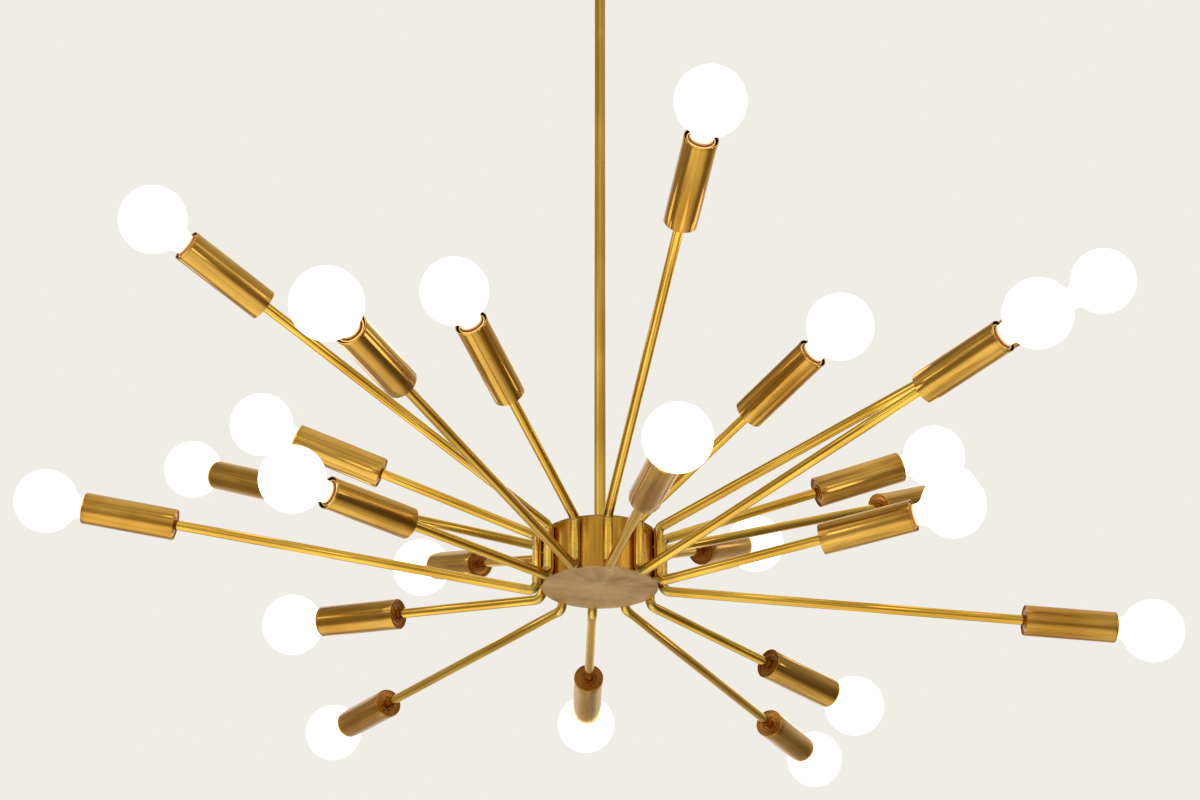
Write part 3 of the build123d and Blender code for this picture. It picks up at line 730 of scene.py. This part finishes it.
class MakeStage(bpy.types.Operator):
    """Pale floor and background, soft lights and the camera"""

    bl_idname = "chandelier.make_stage"
    bl_label = "Make stage"

    def execute(self, context):
        looks, sizes = context.scene.chandelier_looks, context.scene.chandelier_sizes
        camera = bpy.data.objects.new("camera", bpy.data.cameras.new("camera"))
        camera.data.lens, camera.data.sensor_width = CAMERA_LENS, CAMERA_SENSOR
        camera.location = CAMERA_PLACE
        camera.rotation_euler = (np.radians(CAMERA_TILT), 0.0, 0.0)
        context.scene.collection.objects.link(camera)
        context.scene.camera = camera
        context.scene.view_settings.view_transform = "Standard"
        self.light_world(context.scene, looks)
        self.lay_floor(context.scene, looks, sizes)
        for name, where, size, power, colour in STUDIO_LIGHTS:
            light = bpy.data.objects.new(name, bpy.data.lights.new(name, "AREA"))
            light.data.size, light.data.energy, light.data.color = size, power, colour
            light.location = where
            aim = Vector(LIGHT_AIM) - Vector(where)
            light.rotation_euler = aim.to_track_quat("-Z", "Y").to_euler()
            context.scene.collection.objects.link(light)
        return {"FINISHED"}

    def light_world(self, scene, looks):
        """The camera sees the plain background, and so do glossy and transmitted rays that pass
        behind the chandelier. All other rays meet the room, which is brightest low down and in
        the middle and darkest at the right, and puts the dark lines along the brass."""
        world = bpy.data.worlds.new("room")
        world.use_nodes = True
        tree = world.node_tree
        tree.nodes.clear()

        def reckon(operation, one, two):
            made = add_node(tree, "ShaderNodeMath", {0: one, 1: two}, operation=operation)
            return made.outputs[0]

        def facing(way):
            inputs = {0: point, 1: way}
            made = add_node(tree, "ShaderNodeVectorMath", inputs, operation="DOT_PRODUCT")
            return made.outputs["Value"]

        def ramp(value, stops):
            """A ramp from -1 to 1 instead of from 0 to 1."""
            share = add_node(tree, "ShaderNodeMapRange", {0: value, 1: -1.0}).outputs[0]
            made = add_node(tree, "ShaderNodeValToRGB", {0: share})
            while len(made.color_ramp.elements) < len(stops):
                made.color_ramp.elements.new(0.5)
            for element, (at, colour) in zip(made.color_ramp.elements, stops):
                element.position, element.color = (at + 1) / 2, (*colour, 1.0)
            return made.outputs[0]

        point = add_node(tree, "ShaderNodeTexCoord").outputs["Generated"]
        axes = add_node(tree, "ShaderNodeSeparateXYZ", {0: point}).outputs
        inputs = {0: 1.0, 6: ramp(axes["Z"], ROOM_LEVELS), 7: ramp(facing(SIDEWAYS), ROOM_SIDES)}
        room = add_node(tree, "ShaderNodeMix", inputs, data_type="RGBA", blend_type="MULTIPLY")
        seen = {0: facing(BEHIND), 1: BEHIND_FROM, 2: BEHIND_TO}
        seen = add_node(tree, "ShaderNodeMapRange", seen).outputs[0]
        rays = add_node(tree, "ShaderNodeLightPath").outputs
        other = reckon("MAXIMUM", rays["Is Glossy Ray"], rays["Is Transmission Ray"])
        share = reckon("MAXIMUM", rays["Is Camera Ray"], reckon("MULTIPLY", other, seen))
        dim = add_node(tree, "ShaderNodeBackground", {0: room.outputs[2]}).outputs[0]
        plain = add_node(tree, "ShaderNodeBackground", {0: (*looks.backdrop, 1.0)}).outputs[0]
        mixed = add_node(tree, "ShaderNodeMixShader", {0: share, 1: dim, 2: plain})
        add_node(tree, "ShaderNodeOutputWorld", {0: mixed.outputs[0]})
        scene.world = world

    def lay_floor(self, scene, looks, sizes):
        """A round floor. It turns clear, so that the background shows, with its distance from
        the middle, seen from below, and for glossy rays."""
        rings, columns = np.array(FLOOR_RINGS), FLOOR_COLUMNS
        turn = np.linspace(0, 2 * np.pi, columns, endpoint=False)
        flat = np.stack([rings[:, None] * np.cos(turn), rings[:, None] * np.sin(turn)], -1)
        flat = flat.reshape(-1, 2)
        verts = np.column_stack([flat, np.full(len(flat), sizes.floor_height)])
        row, column = np.arange(len(rings) - 1)[:, None], np.arange(columns)[None]
        after = (column + 1) % columns
        corners = [(row, column), (row + 1, column), (row + 1, after), (row, after)]
        quads = np.stack([r * columns + c for r, c in corners], -1).reshape(-1, 4)
        mesh = bpy.data.meshes.new("floor")
        mesh.from_pydata(verts, [], quads)
        floor = bpy.data.objects.new("floor", mesh)
        scene.collection.objects.link(floor)
        pale = (*looks.backdrop, 1.0)
        shade = (*(FLOOR_SHADE * c for c in looks.backdrop), 1.0)
        finish = Finish(
            "pale_floor", Roughness=0.85, Emission_Color=pale, Emission_Strength=FLOOR_GLOW
        )
        grain = finish.noise(finish.where(), 3.0, 3.0)
        finish.put("Base Color", finish.mix(grain, pale, shade))
        away = finish.node("ShaderNodeVectorMath", {0: finish.where()}, operation="LENGTH")
        share = finish.span(away.outputs["Value"], *FLOOR_FADE)
        under = finish.node("ShaderNodeNewGeometry").outputs["Backfacing"]
        glossy = finish.node("ShaderNodeLightPath").outputs["Is Glossy Ray"]
        for other in (under, glossy):
            share = finish.reckon("MAXIMUM", share, other)
        clear = finish.node("ShaderNodeBsdfTransparent").outputs[0]
        inputs = {0: share, 1: finish.shader.outputs[0], 2: clear}
        mixed = finish.node("ShaderNodeMixShader", inputs)
        finish.tree.links.new(mixed.outputs[0], finish.output.inputs[0])
        mesh.materials.append(finish.material)


# ---- the chandelier's pieces ----


class MakeArms(bpy.types.Operator):
    """Twelve tubes, each bent into a square bracket"""

    bl_idname = "chandelier.make_arms"
    bl_label = "Make bent tubes"

    def execute(self, context):
        for index in range(ARMS):
            points = [
                lamp_point(index, True, ARM_TIP),
                corner(index, True),
                corner(index, False),
                lamp_point(index, False, ARM_TIP),
            ]
            bent = tube(points, direction(arm_azimuth(index) + 90), ARM_RADIUS, ARM_WALL)
            make_piece(
                f"bent_tube_{index + 1:02d}", bent, finish_named("tube_brass"), "frame",
                [f"arm_tube_{index + 1:02d}"],
            )
        return {"FINISHED"}


class MakeSleeves(bpy.types.Operator):
    """Lamp sleeves with the turned discs in their back ends"""

    bl_idname = "chandelier.make_sleeves"
    bl_label = "Make lamp sleeves"

    def execute(self, context):
        outer = context.scene.chandelier_sizes.sleeve_radius / MM
        inner = outer - SLEEVE_WALL
        sleeve, disc = self.sleeve(outer, inner), self.disc(inner - GAP)
        for upper, group in ((True, "upper"), (False, "lower")):
            for index in range(ARMS):
                place = lamp_place(index, upper)
                node = [f"holder_sleeves_{group}"] if index == 0 else []
                make_piece(
                    lamp_name("sleeve", index, upper), placed(sleeve, place),
                    finish_named("sleeve_brass"), "frame", node,
                )
                node = ["holder_end_discs"] if index == 0 and upper else []
                make_piece(
                    lamp_name("end_disc", index, upper), placed(disc, place),
                    finish_named("disc_brass"), "frame", node,
                )
        return {"FINISHED"}

    def sleeve(self, outer, inner):
        """Wall with softened edges and a fine half-round groove near its mouth."""
        soft = SLEEVE_EDGE
        runs = np.linspace(SLEEVE_BACK + soft, SLEEVE_MOUTH - soft, 9)
        profile = [(outer, z) for z in runs[:-1]]
        profile += arc((outer, SLEEVE_MOUTH - GROOVE_FROM_MOUTH), GROOVE_DEPTH, -90, -270, 5)
        profile += arc((outer - soft, SLEEVE_MOUTH - soft), soft, 20, 90, 3)
        profile += arc((inner + soft, SLEEVE_MOUTH - soft), soft, 90, 160, 3)
        profile += [(inner, z) for z in runs[::-1]]
        profile += arc((inner + soft, SLEEVE_BACK + soft), soft, 200, 270, 3)
        profile += arc((outer - soft, SLEEVE_BACK + soft), soft, 270, 340, 3)
        return lathe(profile, columns=72)

    def disc(self, edge):
        """Disc turned, from the edge inwards, with a rim, a groove, a shallow dish, a raised
        ring in a channel and a boss round the arm."""
        back, hole = DISC_BACK, ARM_RADIUS + GAP
        profile = [(hole, back + 2.0), (edge - 0.3, back + 2.0), (edge, back + 1.7)]
        profile += [(edge, back + 0.3), (edge - 0.3, back)]
        profile += [(16.6, back), (16.4, back + 0.8), (15.4, back + 0.8), (15.2, back + 0.1)]
        profile += [(r, back + 0.1 + 0.5 * (15.2 - r) / 4.2) for r in (14.2, 13.2, 12.2, 11.2)]
        profile += [(11.0, back + 1.3), (10.4, back + 1.3)]
        profile += arc((9.5, back + 0.45), 0.8, 0, -180, 9)
        profile += [(8.6, back + 1.5), (7.4, back + 1.5), (7.2, back + 0.3), (hole, back + 0.3)]
        return lathe(profile)


class MakeSockets(bpy.types.Operator):
    """Screw shells with their rolled thread, in black socket bodies"""

    bl_idname = "chandelier.make_sockets"
    bl_label = "Make screw sockets"

    def execute(self, context):
        shell = threaded(
            SHELL_FOOT, SHELL_TOP, SHELL_CREST, SHELL_SHEET, SHELL_SHEET, columns=32, per_turn=6
        )
        # a bead rolled outwards round the shell's mouth
        bead = [(13.9, 24.05), (14.3, 24.6)] + arc((15.65, 25.2), 1.35, 200, -60, 16)
        lip = lathe(bead + [(16.3, 24.05)], columns=48)
        shells = [placed(part, lamp_place(*lamp)) for lamp in LAMPS for part in (shell, lip)]
        brass = finish_named("contact_brass")
        make_piece("threaded_shells", shells, brass, "frame", ["screw_shells"])
        dress(finish_named("phenolic"), "socket_bodies")
        dress(brass, "centre_contacts")
        return {"FINISHED"}


class MakeLamps(bpy.types.Operator):
    """Opal globes on threaded caps, each with its insulator and contact tip"""

    bl_idname = "chandelier.make_lamps"
    bl_label = "Make globe lamps"

    def execute(self, context):
        glass = self.glass(context.scene.chandelier_sizes.globe_radius / MM)
        # the cap's sheet: its rolled thread, its tapered foot and the rim that holds the glass
        thread = threaded(CAP_FOOT, CAP_TOP, CAP_RADIUS, CAP_THREAD, CAP_SHEET)
        foot = [(11.2, 6.0), (11.6, 6.05), (12.75, 7.6), (12.8, 8.6), (12.4, 8.6), (12.3, 7.8)]
        foot.append((11.2, 6.4))
        rim = [(12.8, 24.6), (13.1, 24.9), (13.1, 25.95), (12.6, 25.95), (12.4, 24.6)]
        cap = [thread, lathe(foot, columns=48), lathe(rim, columns=48)]
        # the insulator's hollow cone, and the soldered tip in its middle
        cone = [(4.6, 1.6)] + arc((6.9, 1.9), 2.6, 215, 262, 4)
        cone += [(9.4, 4.8), (11.1, 6.0), (11.1, 7.0), (4.6, 7.0)]
        insulator = lathe(cone, columns=48)
        drop = [(0.0, 0.1), (3.0, 0.12), (4.2, 0.45), (4.5, 1.0), (4.5, 2.6), (0.0, 2.6)]
        tip = lathe(drop, columns=32, closed=False)
        for index, upper in LAMPS:
            place = lamp_place(index, upper)
            body = lamp_name("lamp", index, upper)
            make_piece(
                lamp_name("globe", index, upper), placed(glass, place), finish_named("opal"),
                body, [body],
            )
            make_piece(
                lamp_name("cap", index, upper), [placed(part, place) for part in cap],
                finish_named("cap_metal"), body,
            )
            make_piece(
                lamp_name("insulator", index, upper), placed(insulator, place),
                finish_named("phenolic"), body,
            )
            make_piece(
                lamp_name("tip", index, upper), placed(tip, place), finish_named("solder"),
                body,
            )
        return {"FINISHED"}

    def glass(self, globe):
        """Envelope turned about the lamp's axis: straight neck, concave arc that touches the neck
        and the globe, and the globe. The inner wall lies the glass's thickness inside it."""
        foot, blend_at = CAP_LENGTH + GAP, CAP_LENGTH + NECK_LENGTH
        bend, wall = NECK_RADIUS + BLEND_RADIUS, GLASS_WALL
        middle = blend_at + np.sqrt((globe + BLEND_RADIUS) ** 2 - bend**2)
        meets = np.degrees(np.arctan2(middle - blend_at, bend))
        outer = [(NECK_RADIUS, z) for z in np.linspace(foot, blend_at, 4)[:-1]]
        outer += arc((bend, blend_at), BLEND_RADIUS, 180, 180 - meets, 12)
        outer += arc((0, middle), globe, -meets, 90, 44)[1:]
        inner = arc((0, middle), globe - wall, 90, -meets, 24)
        inner += arc((bend, blend_at), BLEND_RADIUS + wall, 180 - meets, 180, 8)[1:]
        inner += [(NECK_RADIUS - wall, foot)]
        profile = np.array(outer + inner)
        profile[np.abs(profile[:, 0]) < ON_AXIS, 0] = 0.0
        along = np.clip((profile[:, 1:2] - foot) / (middle - globe * GLOW_FULL - foot), 0, 1)
        return lathe(profile, marks={"along": along})


class MakeDrum(bpy.types.Operator):
    """Drum wall, bottom plate and cover"""

    bl_idname = "chandelier.make_drum"
    bl_label = "Make drum"

    def execute(self, context):
        outer, inner, soft, edge = DRUM_RADIUS, DRUM_RADIUS - DRUM_WALL, DRUM_EDGE, PLATE_EDGE
        heights = np.linspace(PLATE_TOP + soft, COVER_BOTTOM - soft, 9)
        profile = [(outer - soft, PLATE_TOP)] + [(outer, z) for z in heights]
        profile += [(outer - soft, COVER_BOTTOM), (inner, COVER_BOTTOM), (inner, PLATE_TOP)]
        make_piece(
            "drum_wall", lathe(profile, columns=192), finish_named("drum_brass"), "frame",
            ["drum"],
        )
        low, top = -DROP, PLATE_TOP
        profile = [(r, low) for r in np.linspace(0.0, outer - edge, 16)]
        profile += arc((outer - edge, low + edge), edge, -70, 0, 4)
        profile += [(outer, top - 0.1), (outer - 0.1, top), (0.0, top)]
        make_piece(
            "bottom_plate", lathe(profile, columns=192, closed=False),
            finish_named("plate_brass"), "frame", ["drum_bottom_plate"],
        )
        low, top = COVER_BOTTOM, DRUM_TOP
        profile = [(COVER_HOLE, low), (outer - 0.1, low), (outer, low + 0.1)]
        profile += arc((outer - edge, top - edge), edge, 0, 90, 5)
        profile += [(r, top) for r in np.linspace(outer - 1.5, COVER_HOLE, 12)]
        make_piece(
            "cover", lathe(profile, columns=192), finish_named("cover_brass"), "frame",
            ["drum_cover"],
        )
        dress(finish_named("zinc"), "drum_bridge")
        return {"FINISHED"}


class MakeStem(bpy.types.Operator):
    """Stem of two lengths of tube, with the bushes in their ends"""

    bl_idname = "chandelier.make_stem"
    bl_label = "Make stem"

    def execute(self, context):
        outer, inner, soft = STEM_RADIUS, STEM_RADIUS - STEM_WALL, STEM_EDGE
        brass = finish_named("stem_brass")
        tubes = (("stem_lower", DRUM_TOP, STEM_JOINT), ("stem_upper", STEM_JOINT, STEM_TOP))
        for name, low, high in tubes:
            profile = [(inner, low), (outer - soft, low)]
            profile += [(outer, z) for z in np.linspace(low + soft, high - soft, 20)]
            profile += [(outer - soft, high), (inner, high)]
            made = lathe(profile, columns=48)
            make_piece(f"{name}_tube", made, brass, "frame", [name])
        dress(brass, "stem_bushes")
        return {"FINISHED"}


class MakeCanopy(bpy.types.Operator):
    """Canopy that slides on the stem, its collar and the thumb screw"""

    bl_idname = "chandelier.make_canopy"
    bl_label = "Make canopy"

    def execute(self, context):
        outer, wall, bend, rim = CANOPY_RADIUS, CANOPY_WALL, CANOPY_CORNER, CANOPY_RIM
        low = -CANOPY_DEPTH
        profile = [(r, low) for r in np.linspace(CANOPY_HOLE, outer - bend, 10)]
        profile += arc((outer - bend, low + bend), bend, -90, 0, 12)[1:]
        profile += [(outer, -rim), (outer - rim, 0.0)]
        profile += [(outer - wall + 0.2, 0.0), (outer - wall, -rim)]
        profile += arc((outer - bend, low + bend), bend - wall, 0, -90, 10)
        profile += [(CANOPY_HOLE, low + wall)]
        make_piece(
            "canopy_shell", lathe(profile, columns=128), finish_named("canopy_brass"),
            "canopy", ["canopy"],
        )
        dress(finish_named("stem_brass"), "canopy_collar")
        make_piece(
            "thumb_screw", self.screw(), finish_named("stem_brass"), "canopy",
            ["collar_thumb_screw"],
        )
        return {"FINISHED"}

    def screw(self):
        """Plain shank and a knurled head: the head's radius is its own less a small cosine of
        the angle times the number of ridges."""
        tip, start, shank, head = STEM_RADIUS + 0.1, HEAD_START, SCREW_SHANK, SCREW_HEAD
        rows = [(0.0, tip), (1.7, tip), (shank, tip + 0.3), (shank, start), (3.4, start)]
        rows += [(head, start + 0.5)] + [(head, z) for z in np.linspace(start + 1, start + 5, 5)]
        rows += [(head, start + 5.4), (3.3, start + 6), (0.0, start + 6)]
        made = lathe(rows, columns=96, closed=False)
        verts = made["verts"].copy()
        radius, turn = np.hypot(verts[:, 0], verts[:, 1]), np.arctan2(verts[:, 1], verts[:, 0])
        ridges = 1 - KNURL_DEPTH * (1 + np.cos(KNURL_RIDGES * turn))
        verts[:, :2] *= np.where(radius > head - 0.1, ridges, 1.0)[:, None]
        axes = np.array([[1.0, 0, 0], [0, 0, -1.0], [0, 1.0, 0]])
        return placed({**made, "verts": verts}, (axes, np.array([0, 0, COLLAR_MIDDLE])))


class MakeCeilingEnd(bpy.types.Operator):
    """Crossbar, nuts and threaded nipples"""

    bl_idname = "chandelier.make_ceiling_end"
    bl_label = "Make ceiling fittings"

    def execute(self, context):
        dress(finish_named("zinc"), "ceiling_crossbar", "lock_nuts", "threaded_nipples")
        return {"FINISHED"}


class MakeWiring(bpy.types.Operator):
    """Leads, terminal ring and bus rings"""

    bl_idname = "chandelier.make_wiring"
    bl_label = "Make wiring"

    def execute(self, context):
        dress(finish_named("insulation"), "supply_lead", "lamp_leads_upper", "lamp_leads_lower")
        dress(finish_named("ceramic"), "terminal_ring")
        dress(finish_named("contact_brass"), "bus_rings")
        return {"FINISHED"}


OPERATORS = [
    MakeStage, MakeArms, MakeSleeves, MakeSockets, MakeLamps, MakeDrum, MakeStem, MakeCanopy,
    MakeCeilingEnd, MakeWiring,
]


class ChandelierPanel(bpy.types.Panel):
    """Lists the chandelier's pieces, sizes and colours"""

    bl_idname = "VIEW3D_PT_chandelier"
    bl_label = "Sputnik chandelier"
    bl_space_type = "VIEW_3D"
    bl_region_type = "UI"
    bl_category = "Chandelier"

    def draw(self, context):
        for operator in OPERATORS:
            self.layout.operator(operator.bl_idname)
        for group in (context.scene.chandelier_sizes, context.scene.chandelier_looks):
            for key in group.bl_rna.properties.keys():
                if key not in ("rna_type", "name"):
                    self.layout.prop(group, key)


CLASSES = [ChandelierLooks, ChandelierSizes, *OPERATORS, ChandelierPanel]


def register():
    for cls in CLASSES:
        bpy.utils.register_class(cls)
    bpy.types.Scene.chandelier_looks = PointerProperty(type=ChandelierLooks)
    bpy.types.Scene.chandelier_sizes = PointerProperty(type=ChandelierSizes)


def unregister():
    del bpy.types.Scene.chandelier_sizes
    del bpy.types.Scene.chandelier_looks
    for cls in reversed(CLASSES):
        bpy.utils.unregister_class(cls)


def main():
    """Registers the add-on and makes every piece in order."""
    register()
    for operator in OPERATORS:
        getattr(bpy.ops.chandelier, operator.bl_idname.split(".")[1])()


if __name__ == "__main__":
    main()
